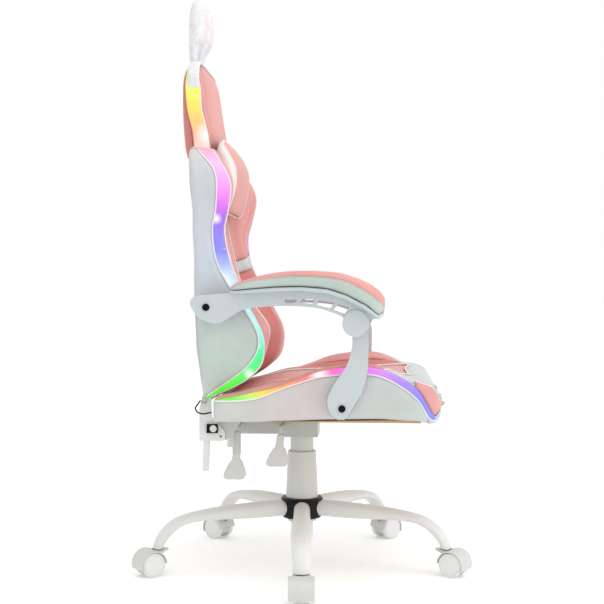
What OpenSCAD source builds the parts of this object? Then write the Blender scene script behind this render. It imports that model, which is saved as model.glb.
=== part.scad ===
// Racing-style swivel chair: five-legged caster base, gas lift, reclining back, linked armrests.
// +X is where the sitter faces and +Z is up. The origin is on the floor under the column.

/* [Base] */
// Distance from the column axis to each caster stem
leg_reach = 340; // [320:5:360]
// Angle of the base about the column, on which it turns freely
base_yaw = 4; // [-30:1:30]
// Outer radius of the black hub collar
collar_r = 46; // [44:1:48]

/* [Casters] */
// Wheel diameter
wheel_d = 54; // [50:1:56]
// Overall width of the twin wheels
caster_w = 54; // [50:1:58]
// Distance from the stem axis to the wheel axle
trail = 20; // [16:1:22]
// How far each side caster is turned from its leg's direction
caster_yaw = 15; // [0:1:40]

/* [Column] */
// Outer radius of the fixed column tube
tube_r = 25; // [24.5:0.1:25.2]
// Radius of the sliding gas cylinder
gas_r = 14; // [12:0.5:15]
// Height of the top of the fixed lower cover
cover_top_z = 264; // [250:1:270]

/* [Seat] */
// Half the width of the seat cushion
seat_half_w = 262; // [255:1:262]
// Underside of the plywood seat board
board_z = 356; // [354:1:358]
// Thickness of the seat board
board_t = 12; // [9:1:12]

/* [Back] */
// Height of the recline hinge
hinge_z = 338; // [334:1:340]
// Distance of the recline hinge behind the column axis
hinge_back = 177; // [174:1:180]
// Distance from the middle to each steel hinge bracket
bracket_y = 198; // [190:1:200]
// Height of the tips of the plush ears
ear_top_z = 1308; // [1290:1:1320]

/* [Armrests] */
// Distance from the middle to the centre line of each pad
arm_y = 288; // [284:1:292]
// Radius of the round joint cover at the front of each armrest
knuckle_r = 28; // [26:1:30]

/* [Hidden] */
$fn = 64;
LEGS = 5;
// Radial running clearance of a pin in its bore
run_gap = 0.05;
// Gap left between parts that move past each other
part_gap = 0.3;
// Finest radius of the small bolts and pins
bolt_r = 5;
cap_r = 7.5;

wheel_r = wheel_d / 2;
wheel_w = 13;
well_r = wheel_r + 1.3;
hood_r = wheel_r + 4;
hood_top_z = wheel_r + hood_r - 0.5;
web_half_w = caster_w / 2 - wheel_w - 0.5;
stem_r = 5.5;
axle_r = 3;
leg_tip_z = 59.5;
stem_top_z = 72;

hub_bottom_z = 110;
hub_top_z = 157;
core_r = 33;
chassis_top_z = board_z - 4;
chassis_low_z = 300;
wall_y = 45;

hinge_x = -hinge_back;
// Armrest pivots: rear bolt on the back, front joint, lower bolt on the seat side
arm_rear = [-179, 602];
arm_front = [133.5, 568.5];
arm_low = [104, 390];
support_in_y = 266;
support_t = 15;
plate_in_y = 283;
plate_t = 18;
// The front joint's pin moves this far off centre over the recline, so its hole is that much larger
front_slack = 5.4;
front_pin_r = 4;

// Catmull-Rom point between p1 and p2, and a finer list of rows through the given ones
function between(p0, p1, p2, p3, u) =
    0.5 * (2 * p1 + (p2 - p0) * u + (2 * p0 - 5 * p1 + 4 * p2 - p3) * u * u
        + (3 * p1 - p0 - 3 * p2 + p3) * u * u * u);
function smooth(rows, steps) = [
    for (i = [0:len(rows) - 2], k = [0:steps - 1])
        between(rows[max(i - 1, 0)], rows[i], rows[i + 1], rows[min(i + 2, len(rows) - 1)], k / steps),
    rows[len(rows) - 1]
];

// Rounded-box curve: 2 gives an ellipse, larger powers squarer corners
function squircle(v, power) = sign(v) * pow(abs(v), 2 / power);
function flat_ring(z, x0, x1, half_w, power, n) = [
    for (i = [0:n - 1]) let (a = 360 * i / n)
        [(x0 + x1) / 2 + (x1 - x0) / 2 * squircle(cos(a), power), half_w * squircle(sin(a), power), z]
];
function upright_ring(x, y, z0, z1, half_w, power, n) = [
    for (i = [0:n - 1]) let (a = 360 * i / n)
        [x, y + half_w * squircle(cos(a), power), (z0 + z1) / 2 + (z1 - z0) / 2 * squircle(sin(a), power)]
];

// Middle of a closed ring of points
function middle(ring) = [for (i = [0:len(ring) - 1]) 1] * ring / len(ring);

// Solid through a list of rings; each ring runs anticlockwise seen from the end of the list,
// and each end is closed by a fan about its middle
module loft(rings) {
    n = len(rings[0]);
    m = len(rings);
    first = m * n;
    last = first + 1;
    polyhedron(
        points = [for (ring = rings) each ring, middle(rings[0]), middle(rings[m - 1])],
        faces = [
            for (i = [0:n - 1]) let (j = (i + 1) % n)
                each [[i, j, first], [(m - 1) * n + j, (m - 1) * n + i, last]],
            for (r = [0:m - 2], i = [0:n - 1]) let (j = (i + 1) % n)
                each [
                    [r * n + i, (r + 1) * n + i, (r + 1) * n + j],
                    [r * n + i, (r + 1) * n + j, r * n + j]
                ]
        ]
    );
}

// A copy on each side of the chair; the second is the mirror image
module both_sides() {
    children();
    mirror([0, 1, 0]) children();
}

// A cylinder along Y from y0 to y1 at the point [x, z]
module y_rod(p, r, y0, y1) {
    translate([p[0], y1, p[1]]) rotate([90, 0, 0]) cylinder(r = r, h = y1 - y0);
}

// An outline given in X and Z, made y0 to y1 thick
module y_plate(y0, y1) {
    translate([0, y1, 0]) rotate([90, 0, 0]) linear_extrude(y1 - y0) children();
}

// ---- Base -------------------------------------------------------------------------------

// Welded steel socket that holds the column
module hub_core() {
    color("white") difference() {
        translate([0, 0, hub_bottom_z - 8]) cylinder(r = core_r, h = hub_top_z - hub_bottom_z + 8);
        translate([0, 0, hub_bottom_z - 9]) cylinder(r = tube_r + 0.02, h = hub_top_z);
    }
}

// Black ring round the socket, with a bevelled lip under the column cover
module hub_collar() {
    color([0.05, 0.05, 0.05]) rotate_extrude() polygon([
        [core_r, hub_bottom_z], [collar_r - 2, hub_bottom_z], [collar_r, hub_bottom_z + 3],
        [collar_r, hub_top_z - 9], [collar_r + 3.5, hub_top_z - 7], [collar_r + 0.5, hub_top_z - 1],
        [core_r, hub_top_z]
    ]);
}

// Leg stations: distance out, height, half thickness, half width
LEG = [
    [40, 133, 19, 18.5], [100, 131.5, 19, 18.5], [162, 130, 17, 20], [215, 128.5, 13.5, 22.5],
    [264, 123, 11, 23], [294, 113.5, 11.4, 22], [317, 97, 12, 20.5], [333, 77, 11.5, 18.5],
    [340, leg_tip_z, 11, 18]
];

// Bent steel tube, oval at the hub and flattened towards the tip
module leg(k) {
    reach = leg_reach - 340;
    rows = smooth(LEG, 2);
    last = len(rows) - 1;
    color("white") rotate([0, 0, base_yaw - 90 + 360 / LEGS * k]) difference() {
        loft([
            for (i = [0:last]) let (
                p = rows[i],
                d = i == 0 ? [1, 0] : i == last ? [0, -1]
                    : [rows[i + 1][0] - rows[i - 1][0], rows[i + 1][1] - rows[i - 1][1]],
                t = d / norm(d),
                out = p[0] + reach * (p[0] - 40) / 300
            ) [for (j = [0:15]) let (a = 22.5 * j)
                [out - t[1] * p[2] * sin(a), p[3] * cos(a), p[1] + t[0] * p[2] * sin(a)]]
        ]);
        translate([leg_reach, 0, leg_tip_z - 1]) cylinder(r = stem_r + run_gap, h = stem_top_z - leg_tip_z + 2);
    }
}

// Fixed outer tube of the gas lift, with its bushing at the top
module column_tube() {
    color("silver") rotate_extrude() polygon([
        [0, 62], [tube_r, 62], [tube_r, 250], [gas_r + run_gap, 250], [gas_r + run_gap, 220],
        [tube_r - 2.5, 216], [tube_r - 2.5, 66], [0, 66]
    ]);
}

// Lower stage of the column's telescopic cover
module cover_lower() {
    foot_r = 37.5;
    top_r = 32.7;
    lip_r = 27.4;
    color("white") rotate_extrude() polygon([
        [foot_r, hub_top_z], [top_r, cover_top_z - 1], [top_r - 1, cover_top_z], [lip_r, cover_top_z],
        [lip_r, cover_top_z - 3], [top_r - 2, cover_top_z - 3], [foot_r - 2, hub_top_z]
    ]);
}

// Thin rod that stands on the column's floor and turns there, with its piston head
module gas_rod() {
    head_z = 218;
    color("silver") union() {
        translate([0, 0, 66.3]) cylinder(r = bolt_r, h = head_z - 66.3);
        translate([0, 0, head_z]) cylinder(r = gas_r - 2.6, h = 9);
    }
}

// ---- Casters: each is drawn with its stem on the Z axis and rolls along X ---------------

// Turn of caster k from the radial direction: none for the leg at the side, opposite signs fore and aft
function caster_turn(k) = k == 0 ? 0 : k < 3 ? -caster_yaw : caster_yaw;

module at_caster(k) {
    rotate([0, 0, base_yaw - 90 + 360 / LEGS * k])
        translate([leg_reach, 0, 0])
            rotate([0, 0, caster_turn(k)]) children();
}

// Hood over both wheels, with a pointed top plate and a web that holds the axle
module caster_hood(k) {
    skirt_z = 16;
    color("white") at_caster(k) difference() {
        union() {
            y_rod([trail, wheel_r], hood_r, -caster_w / 2, caster_w / 2);
            hull() {
                translate([-25, -4, hood_top_z - 5]) cube([1, 8, 4.5]);
                translate([0, -19, hood_top_z - 5]) cube([22, 38, 4.5]);
                translate([8, -19, wheel_r + 20]) cube([10, 38, 4]);
            }
        }
        for (side = [-1, 1]) y_rod([trail, wheel_r], well_r,
            side < 0 ? -caster_w : web_half_w, side < 0 ? -web_half_w : caster_w);
        translate([-50, -50, -20]) cube([150, 100, skirt_z + 20]);
        translate([trail - 60, -50, skirt_z - 1]) cube([60 - well_r + 4, 100, wheel_r + 3 - skirt_z]);
        translate([0, 0, hood_top_z - 18]) cylinder(r = stem_r, h = 40);
        y_rod([trail, wheel_r], axle_r, -caster_w, caster_w);
    }
}

// Steel stem with its dark washer, and the wheel axle
module caster_pins(k) {
    color("dimgray") at_caster(k) {
        translate([0, 0, hood_top_z - 18]) cylinder(r = stem_r, h = stem_top_z - hood_top_z + 18);
        translate([0, 0, hood_top_z]) cylinder(r = 12, h = leg_tip_z - hood_top_z - part_gap);
        y_rod([trail, wheel_r], axle_r, 3.5 - caster_w / 2, caster_w / 2 - 3.5);
    }
}

// One wheel: closed disc face, a shallow rim groove, a rounded tread and a blind hole for the axle
module caster_wheel(k, side) {
    color("white") at_caster(k) translate([trail, 0, wheel_r]) rotate([side * -90, 0, 0])
        translate([0, 0, web_half_w + 0.5]) rotate_extrude() polygon([
            [axle_r + run_gap, 0], [wheel_r - 1.5, 0], [wheel_r, 1.5], [wheel_r, wheel_w - 2],
            [wheel_r - 2, wheel_w], [wheel_r - 4, wheel_w], [wheel_r - 4.5, wheel_w - 1],
            [wheel_r - 5, wheel_w], [0, wheel_w], [0, wheel_w - 3], [axle_r + run_gap, wheel_w - 3]
        ]);
}

// ---- Seat mechanism ---------------------------------------------------------------------

// Pressurised cylinder that slides in the column's bushing
module gas_cylinder() {
    color("silver") rotate_extrude() polygon([
        [bolt_r + run_gap, 120], [gas_r, 120], [gas_r, 340], [0, 340], [0, 326],
        [gas_r - 2.5, 326], [gas_r - 2.5, 135], [bolt_r + run_gap, 135]
    ]);
}

// Upper stage of the column's cover, which hangs from the seat mechanism
module cover_upper() {
    color("white") difference() {
        translate([0, 0, 168]) cylinder(r = 26.8, h = chassis_low_z - 168);
        translate([0, 0, 167]) cylinder(r = 25.5, h = chassis_low_z);
    }
}

// Pressed steel mechanism: column box, rear channel, top plate and the levers' supports
module chassis() {
    color([0.85, 0.87, 0.87]) difference() {
        union() {
            difference() {
                translate([-42, -wall_y, chassis_low_z]) cube([81, 2 * wall_y, chassis_top_z - chassis_low_z]);
                translate([-39, 3 - wall_y, chassis_low_z + 3])
                    cube([75, 2 * wall_y - 6, chassis_top_z - chassis_low_z - 3]);
            }
            difference() {
                translate([-160, -wall_y, 307]) cube([119, 2 * wall_y, chassis_top_z - 307]);
                translate([-157, 3 - wall_y, 310]) cube([116, 2 * wall_y - 6, chassis_top_z]);
            }
            translate([-150, -95, chassis_top_z]) cube([285, 190, board_z - chassis_top_z]);
            translate([0, 0, chassis_low_z]) cylinder(r = 22, h = chassis_top_z - chassis_low_z);
            for (x = [-46, -32]) translate([x, -62, 326]) cube([6, 18, 24]);
            y_rod([-134, 334], 11, -wall_y - 4, -wall_y + 4);
        }
        translate([0, 0, chassis_low_z - 1]) cylinder(r = gas_r, h = 41);
        y_rod([-134, 334], 6 + run_gap, -wall_y - 5, -wall_y + 8);
        translate([-50, -55, 334]) rotate([0, 90, 0]) cylinder(r = 3, h = 30);
    }
}

// Hinge plates under the rear of the seat board, each with a free cable hole
module seat_brackets() {
    in_y = bracket_y - part_gap - 4;
    color([0.8, 0.82, 0.84]) both_sides() difference() {
        union() {
            y_plate(in_y, in_y + 4) polygon([
                [hinge_x - 14, hinge_z - 9], [hinge_x - 8, hinge_z - 15], [-152, 312], [-140, 316],
                [-120, chassis_top_z], [-120, board_z], [-150, board_z], [-152, chassis_top_z - 1],
                [hinge_x - 14, hinge_z + 12]
            ]);
            translate([-150, in_y - 26, chassis_top_z]) cube([70, 28, 4]);
        }
        y_rod([hinge_x, hinge_z], 6 + run_gap, in_y - 1, in_y + 5);
    }
}

// Lever that frees the gas lift: a steel rod on a cross pin, bent down at its outer end
module height_lever() {
    color("silver") union() {
        translate([-45.5, -55, 334]) rotate([0, 90, 0]) cylinder(r = 3 - run_gap, h = 19);
        difference() {
            translate([-39.6, -55, 334]) rotate([0, 90, 0]) cylinder(r = 7, h = 7.2);
            translate([-50, -48 - 0.5, 320]) cube([30, 20, 30]);
        }
        y_rod([-36, 334], 5, -150, -63.5);
        y_rod([-36, 334], 3.5, -64.5, -57);
        translate([-36, -150, 334]) sphere(r = 5);
        translate([-36, -150, 296]) cylinder(r = 5, h = 38);
    }
}

// Lever that frees the backrest: a cross rod in the mechanism's wall, bent down
module recline_lever() {
    color("silver") union() {
        y_rod([-134, 334], 6, -150, -wall_y + 7);
        translate([-134, -150, 334]) sphere(r = 6);
        translate([-134, -150, 262]) cylinder(r = 6, h = 72);
    }
}

// Flat grip that widens downwards, drawn round its rod at [x, z]
module paddle(x, top_z, foot_z, lean) {
    half = 24;
    y_plate(-157, -143) polygon([
        for (p = smooth([
            [8, top_z], [9, foot_z + 44], [15, foot_z + 36], [half, foot_z + 14], [half - 1, foot_z + 5],
            [half - 7, foot_z], [0, foot_z], [7 - half, foot_z], [1 - half, foot_z + 5],
            [-half, foot_z + 14], [-15, foot_z + 36], [-9, foot_z + 44], [-8, top_z]
        ], 3)) [x + p[0] - lean * (top_z - p[1]) / (top_z - foot_z), p[1]]
    ]);
}

module height_paddle() {
    color("white") difference() {
        paddle(-36, 318, 249, 9);
        translate([-36, -150, 295.9]) cylinder(r = 5, h = 40);
    }
}

// The rear grip has a ribbed sleeve above it
module recline_paddle() {
    color("white") difference() {
        union() {
            paddle(-134, 276, 219.5, 5);
            for (z = [276:6:318]) translate([-134, -150, z]) cylinder(r1 = 10, r2 = 8.5, h = 6);
        }
        translate([-134, -150, 261.9]) cylinder(r = 6, h = 80);
    }
}

// ---- Seat -------------------------------------------------------------------------------

module seat_board() {
    color("burlywood") translate([-150, -236, board_z]) cube([420, 472, board_t]);
}

// Seat stations: x, bottom, LED lower edge, LED upper edge, bolster seam, centre, half width
SEAT = [
    [-173, 356, 398, 400, 399, 397, 248], [-166, 353, 402, 405, 403, 402, 258],
    [-120, 353, 403, 413, 416, 416, 262], [-75, 353, 409, 423, 430, 430, 262],
    [-40, 354, 423, 431, 438, 437, 262], [10, 354, 441, 449, 441, 440, 262],
    [60, 355, 455, 467, 444, 442, 262], [130, 356, 461, 476, 448, 446, 262],
    [185, 357, 456, 472, 451, 450, 262], [235, 357, 430, 450, 452, 453, 262],
    [265, 358, 404, 425, 450, 453, 262], [285, 358, 370, 392, 444, 448, 259],
    [298, 359, 363, 372, 433, 440, 246], [309, 363, 368, 378, 414, 423, 220],
    [317, 374, 378, 385, 400, 408, 180], [321, 387, 389, 391, 394, 397, 120]
];
// Every width in a station follows the seat's own half width
function seat_w(p) = p[6] + seat_half_w - 262;

// The seams between the middle and the bolsters lie at 168/262 of the half width
function seat_middle_half(p) = let (k = seat_w(p) / 262, y = 168 * k - 0.2) [
    [0, p[1]], [90 * k, p[1]], [y, p[1]], [y, p[5] + 2], [140 * k, p[5]], [70 * k, p[5] + 1], [0, p[5] + 1]
];
function seat_middle_ring(p) = let (h = seat_middle_half(p), n = len(h)) [
    for (q = h) [p[0], q[0], q[1]],
    for (i = [n - 2:-1:1]) [p[0], -h[i][0], h[i][1]]
];
function bolster_ring(p) = let (w = seat_w(p), k = w / 262, y = 168 * k + 0.2) [
    for (q = [
        [y, p[1]], [256 * k, p[1]], [w, p[1] + (p[2] - p[1]) * 0.1], [w, (p[1] + p[2]) / 2], [w, p[2]],
        [258 * k, p[3]], [246 * k, max(p[3] + 4, p[4])], [214 * k, (max(p[3], p[4]) + p[4]) / 2 + 3],
        [185 * k, p[4]], [y, p[5] + 2]
    ]) [p[0], q[0], q[1]]
];

// Foam seat with raised side bolsters, hollowed underneath for the board; the middle and each
// bolster are separate pieces of foam that meet at the seams
module seat_cushion() {
    color([0.91, 0.62, 0.6]) difference() {
        union() {
            loft([for (p = smooth(SEAT, 2)) seat_middle_ring(p)]);
            both_sides() loft([for (p = smooth(SEAT, 2)) bolster_ring(p)]);
        }
        translate([-151, -237, 300]) cube([422, 474, board_z + board_t + 0.2 - 300]);
    }
}

// Light strip sewn along the top edge of each side panel
module seat_led() {
    strip = [for (p = smooth([for (p = SEAT) if (p[0] > -150 && p[0] < 300) p], 2)) p];
    color([1, 0.45, 0.9]) both_sides() loft([
        for (p = strip) let (w = seat_w(p)) [
            [p[0], w - 6, p[2]], [p[0], w + 1.2, p[2]], [p[0], w - 2.5, p[3] + 1.2], [p[0], w - 14, p[3]]
        ]
    ]);
}

// Lower armrest bolts: spacer, shaft and black cap
module arm_front_bolts() {
    out_y = support_in_y + support_t;
    color("black") both_sides() {
        y_rod(arm_low, bolt_r, seat_half_w - 30, out_y + part_gap);
        y_rod(arm_low, 12, seat_half_w - 1, support_in_y - part_gap);
        y_rod(arm_low, cap_r, out_y + part_gap, out_y + 3);
    }
}

// ---- Back -------------------------------------------------------------------------------

// Steel side brackets that carry the back, each with the hanging tail tube welded behind
module back_brackets() {
    out_y = bracket_y + 4;
    color("whitesmoke") both_sides() {
        difference() {
            y_plate(bracket_y, out_y) polygon([
                [-206, 310], [-158, 310], [-153, 315], [-153, 330], [-168, hinge_z + 12],
                [-182, 362], [-184, 424], [-198, 424], [-209, 380], [-209, 313]
            ]);
            y_rod([hinge_x, hinge_z], 6, bracket_y - 1, out_y + 1);
            y_rod([-162, 320.5], 3.2, bracket_y - 1, out_y + 1);
        }
        translate([-194, bracket_y - 6.5, 310]) rotate([0, 2, 0]) translate([0, 0, -66]) difference() {
            cylinder(r = 7.4, h = 72);
            translate([0, 0, -1]) cylinder(r = 5.6, h = 60);
        }
    }
}

// Black bushing blocks on the outside of the hinge
module hinge_blocks() {
    out_y = bracket_y + 4;
    color("black") both_sides() difference() {
        translate([hinge_x - 15, out_y, hinge_z - 10]) cube([24, 7, 19]);
        y_rod([hinge_x, hinge_z], 6, out_y - 1, out_y + 8);
    }
}

// Recline hinge bolts with round heads
module hinge_pins() {
    out_y = bracket_y + 11;
    color("silver") both_sides() {
        y_rod([hinge_x, hinge_z], 6, bracket_y - 10, out_y);
        y_rod([hinge_x, hinge_z], cap_r, out_y, out_y + 4);
    }
}

// Steel tube frame inside the foam
module back_frame() {
    r = 8;
    side_y = 190;
    foot_z = 405;
    lean = 1.8;
    color("gray") {
        both_sides() translate([-190, side_y, foot_z]) rotate([0, -lean, 0]) cylinder(r = r, h = 475);
        for (z = [440, 860]) y_rod([-190 - (z - foot_z) * tan(lean), z], r - 1.5, -side_y, side_y);
        for (y = [-70, 70]) translate([-205, y, 856]) rotate([0, -4, 0]) cylinder(r = r - 2, h = 260);
    }
}

// Back stations: z, rear, panel seam, LED front edge, wing front, centre front, half width
BACK = [
    [394, -201, -198, -194, -192, -193, 204], [408, -202, -190, -178, -174, -181, 210],
    [424, -203, -168, -140, -138, -158, 218], [446, -205, -136, -102, -104, -130, 228],
    [475, -207, -100, -72, -76, -104, 238], [510, -211, -77, -63, -66, -94, 246],
    [548, -212, -77, -67, -68, -92, 251], [598, -214, -105, -91, -94, -126, 252],
    [655, -216, -143, -118, -122, -160, 248], [705, -217, -167, -138, -143, -173, 241],
    [765, -222, -176, -150, -158, -186, 231], [810, -222, -169, -142, -148, -194, 233],
    [860, -226, -165, -135, -134, -198, 243], [895, -228, -171, -147, -141, -200, 240],
    [925, -233, -196, -167, -162, -202, 214], [948, -238, -217, -186, -184, -205, 170],
    [954, -236, -224, -208, -206, -206, 150]
];

// How far in from the side the crest of the wing lies: less near the shoulders
function crest_in(z) = 58 - 24 * max(0, min(1, (z - 780) / 80));

function back_half(p) = let (w = p[6], crest = crest_in(p[0]), inner = w - crest - 24) [
    [p[1], 0], [p[1], -0.55 * w], [p[1] + 1, 14 - w], [p[1] + 3, 4 - w], [p[1] * 0.8 + p[2] * 0.2, -w],
    [(p[1] + p[2]) / 2, -w], [p[2], -w], [p[3], 5 - w], [p[3] * 0.4 + p[4] * 0.6, 20 - w], [p[4], crest - w],
    [(p[4] * 2 + p[5]) / 3, -inner], [(p[4] + p[5] * 4) / 5, 14 - inner], [p[5], 34 - inner],
    [p[5] + 1, -0.3 * inner], [p[5] + 1, 0]
];
function back_ring(p) = let (h = back_half(p), n = len(h)) [
    for (q = h) [q[0], q[1], p[0]],
    for (i = [n - 2:-1:1]) [h[i][0], -h[i][1], p[0]]
];

// Foam back with side wings
module back_cushion() {
    color([0.95, 0.95, 0.95]) loft([for (p = smooth(BACK, 2)) back_ring(p)]);
}

// Headrest part of the back: z, rear, front, half width
HEAD = [
    [906, -232, -205, 96], [925, -247, -201, 116], [948, -257, -196, 126], [990, -262, -186, 131],
    [1040, -264, -194, 133], [1090, -264, -201, 131], [1122, -261, -206, 124], [1141, -254, -213, 110],
    [1152, -243, -224, 88]
];

module head_cushion() {
    color([0.85, 0.45, 0.43]) loft([for (p = smooth(HEAD, 2)) flat_ring(p[0], p[1], p[2], p[3], 4, 28)]);
}

// Light strips along the front edge of each wing and up the sides of the headrest
module back_led() {
    color([0.5, 0.9, 1]) both_sides() {
        loft([
            for (p = smooth([for (p = BACK) if (p[0] > 400) p], 2)) let (w = p[6]) [
                [p[2], w - 6, p[0]], [p[3] - 1, w - 16, p[0]], [p[3] + 1.5, w - 4, p[0]], [p[2], w + 1.2, p[0]]
            ]
        ]);
        loft([
            for (p = smooth([for (p = HEAD) if (p[0] > 940 && p[0] < 1145) p], 2)) let (
                w = p[3],
                x0 = p[1] + 9,
                x1 = p[2] - 8
            ) [[x0, w - 8, p[0]], [x1, w - 8, p[0]], [x1, w + 0.5, p[0]], [x0, w + 1, p[0]]]
        ]);
    }
}

// Pillow between the wings: z, rear, front, half width
PILLOW = [
    [812, -168, -152, 108], [824, -182, -143, 130], [850, -190, -134, 140], [885, -192, -127, 142],
    [915, -192, -127, 142], [945, -188, -140, 138], [965, -182, -157, 124], [974, -176, -165, 104]
];

module neck_pillow() {
    color([0.93, 0.66, 0.63]) loft([for (p = smooth(PILLOW, 2)) flat_ring(p[0], p[1], p[2], p[3], 3, 28)]);
}

// White strap over the top of the headrest
module ear_band() {
    x0 = -247;
    width = 28;
    top = [[-137, 1090], [-136, 1118], [-129, 1139], [-111, 1153], [-88, 1157]];
    half = smooth(top, 3);
    n = len(half) - 1;
    outer = [each half, for (i = [n:-1:0]) [-half[i][0], half[i][1]]];
    color("white") translate([x0, 0, 0]) rotate([90, 0, 90]) linear_extrude(width) polygon([
        each outer,
        for (i = [len(outer) - 1:-1:0]) let (p = outer[i]) [p[0] * 0.97, p[1] > 1100 ? p[1] - 5 : p[1]]
    ]);
}

// Ear stations, measured down from the tip: drop, rear, front, half width
EAR = [
    [153, -254, -238, 15], [128, -257, -238, 22], [108, -257, -232, 30], [92, -257, -221, 34],
    [63, -257, -216, 37], [32, -255, -216, 35], [12, -250, -220, 26], [4, -244, -226, 17], [0, -238, -232, 8]
];

// Two upright plush ears on the strap
module ears() {
    ear_y = 47;
    color("white") both_sides() translate([0, ear_y, 0])
        loft([for (p = smooth(EAR, 2)) flat_ring(ear_top_z - p[0], p[1], p[2], p[3], 2.4, 20)]);
}

// Rear armrest bolts: spacer off the wing, shaft and black cap
module arm_rear_bolts() {
    out_y = plate_in_y + plate_t;
    color("black") both_sides() {
        y_rod(arm_rear, bolt_r, 225, out_y + part_gap);
        y_rod(arm_rear, 13, 248, plate_in_y - part_gap);
        y_rod(arm_rear, cap_r, out_y + part_gap, out_y + 3);
    }
}

// Route of the short light cable between the back and the seat, and its radius
CABLE = [
    [-203, -222, 400], [-208, -222, 393], [-214, -222, 384], [-211, -222, 376], [-204, -222, 372],
    [-195, -222, 371], [-186, -222, 373], [-179, -222, 374]
];
cable_r = 1.6;

module led_cable() {
    path = smooth(CABLE, 2);
    last = len(path) - 1;
    color("black") loft([
        for (i = [0:last]) let (
            d = path[min(i + 1, last)] - path[max(i - 1, 0)],
            t = d / norm(d)
        ) [for (j = [0:7]) let (a = 45 * j)
            path[i] + cable_r * (cos(a) * [0, 1, 0] + sin(a) * [-t[2], 0, t[0]])]
    ]);
}

// ---- Armrests, drawn on the left side and mirrored for the right ------------------------

// side is 1 for the left armrest and -1 for the right
module on_side(side) {
    mirror([0, side < 0 ? 1 : 0, 0]) children();
}

// Pad stations: x, bottom, top, half width
PAD = [
    [-128, 637, 645, 20], [-112, 636, 655, 32], [-80, 638, 665, 40], [-32, 641, 675, 43],
    [21, 642, 679, 44], [75, 637, 677, 44], [114, 624, 671, 42], [154, 603, 653, 40],
    [180, 583, 634, 34], [192, 593, 618, 24]
];

module arm_pad(side) {
    color([0.91, 0.62, 0.6]) on_side(side)
        loft([for (p = smooth(PAD, 2)) upright_ring(p[0], arm_y, p[1], p[2], p[3], 3, 20)]);
}

// Side outline of the plastic armrest body, from the rear end round below to the front
ARM_LOW_EDGE = [
    [-204, 626], [-213, 613], [-208, 597], [-191, 578], [-161, 567], [-135, 577], [-105, 596],
    [-73, 602], [-11, 605], [48, 601.5], [76, 594], [108, 581], [116, 560], [150, 560], [162, 574]
];
ARM_TOP_EDGE = [
    [176, 580], [154, 600], [127, 615], [88, 632], [48, 639], [-5, 639], [-59, 636], [-126, 632], [-180, 628]
];
// Slanted windows between the body and its lower rail: low rear, high rear, high front, low front
WINDOWS = [
    [[-12.5, 611], [-14, 617.5], [12, 618], [8, 611]], [[17, 611.5], [22.5, 619], [48.5, 619], [43, 608.5]],
    [[51, 606.5], [56.5, 616.5], [89.5, 611.5], [80.5, 600]], [[87, 596.5], [96, 609], [119.5, 602], [110.5, 588.5]]
];

module arm_shell(side) {
    color([0.88, 0.9, 0.91]) on_side(side) {
        difference() {
            union() {
                y_plate(plate_in_y, plate_in_y + plate_t) polygon([
                    each smooth(ARM_LOW_EDGE, 2), each smooth(ARM_TOP_EDGE, 2)
                ]);
                loft([for (p = smooth(PAD, 1)) upright_ring(
                    p[0], arm_y, p[1] - 7, p[1] + (p[2] - p[1]) * 0.1, p[3] * 0.88, 4, 16)]);
                y_rod(arm_front, knuckle_r, plate_in_y, plate_in_y + plate_t + 3);
            }
            for (v = WINDOWS) y_plate(plate_in_y - 1, plate_in_y + plate_t + 1) polygon(v);
            y_rod(arm_rear, bolt_r + run_gap, plate_in_y - 1, plate_in_y + plate_t + 1);
            loft([for (p = smooth(PAD, 2)) upright_ring(p[0] * 1.002, arm_y, p[1] - 0.8, p[2] + 9, p[3] + 3, 3, 20)]);
        }
        y_rod(arm_front, front_pin_r, plate_in_y - 9, plate_in_y + 1);
    }
}

// Curved support from the seat side up to the front joint: the two edges of its outline
SUPPORT_REAR = [
    [114, 580], [116, 562], [126, 540], [123, 508], [112, 476], [92, 448], [77, 420], [73, 402], [80, 380], [96, 367]
];
SUPPORT_FRONT = [
    [109, 367], [119, 379], [133, 403], [144, 420], [154, 449], [158, 476], [159, 508], [159, 540],
    [153, 562], [152, 580]
];

module arm_support(side) {
    out_y = support_in_y + support_t;
    color([0.88, 0.9, 0.91]) on_side(side) difference() {
        union() {
            y_plate(support_in_y, out_y) polygon([each smooth(SUPPORT_REAR, 2), each smooth(SUPPORT_FRONT, 2)]);
            y_rod(arm_front, 22, support_in_y, out_y);
        }
        y_rod(arm_front, front_pin_r + front_slack, out_y - 11, out_y + 1);
        y_rod(arm_low, bolt_r + run_gap, support_in_y - 1, out_y + 1);
    }
}

// ---- Node names -------------------------------------------------------------------------

hub_core();
hub_collar();
leg(0);  // leg_1
leg(1);  // leg_2
leg(2);  // leg_3
leg(3);  // leg_4
leg(4);  // leg_5
column_tube();
cover_lower();
gas_rod();
for (k = [0:LEGS - 1]) {
    caster_hood(k);
    caster_pins(k);
    caster_wheel(k, -1);
    caster_wheel(k, 1);
}
gas_cylinder();
cover_upper();
chassis();
seat_brackets();
seat_board();
seat_cushion();
seat_led();
arm_front_bolts();
height_lever();
height_paddle();
recline_lever();
recline_paddle();
back_brackets();
hinge_blocks();
hinge_pins();
back_frame();
back_cushion();
head_cushion();
back_led();
neck_pillow();
ear_band();
ears();
arm_rear_bolts();
led_cable();
arm_shell(1);  // arm_shell_left
arm_pad(1);  // arm_pad_left
arm_support(1);  // arm_support_left
arm_shell(-1);  // arm_shell_right
arm_pad(-1);  // arm_pad_right
arm_support(-1);  // arm_support_right
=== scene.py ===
"""Looks of the gaming chair: covers, light strips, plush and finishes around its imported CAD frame."""

from math import acos, cos, pi, radians, sin

import bmesh
import bpy
import numpy as np
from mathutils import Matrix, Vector, noise
from mathutils.kdtree import KDTree


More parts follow.
